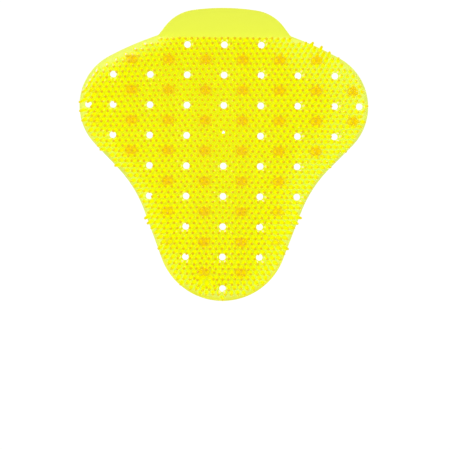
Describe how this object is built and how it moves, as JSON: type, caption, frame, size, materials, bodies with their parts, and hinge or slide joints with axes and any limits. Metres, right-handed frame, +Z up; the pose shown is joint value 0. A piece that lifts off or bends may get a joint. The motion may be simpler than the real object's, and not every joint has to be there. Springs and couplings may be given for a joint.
{
  "type": "urinal deodorizer screen",
  "caption": "Soft one-piece urinal mat: a rounded plate with a grip tab, a close field of upright bristles, small drain holes and domed knobs underneath.",
  "frame": {"origin": "below the middle of the plate, on the surface that the knobs stand on", "axes": "+Z up out of the bristles, +Y along the mat towards the grip tab, +X across its two lobes"},
  "size_m": [0.1784, 0.1804, 0.0218],
  "materials": {
    "soft_yellow": "soft translucent moulded copolymer, neon yellow, satin"
  },
  "bodies": {
    "root": {"bristle_screen": "soft_yellow"}
  },
  "joints": []
}
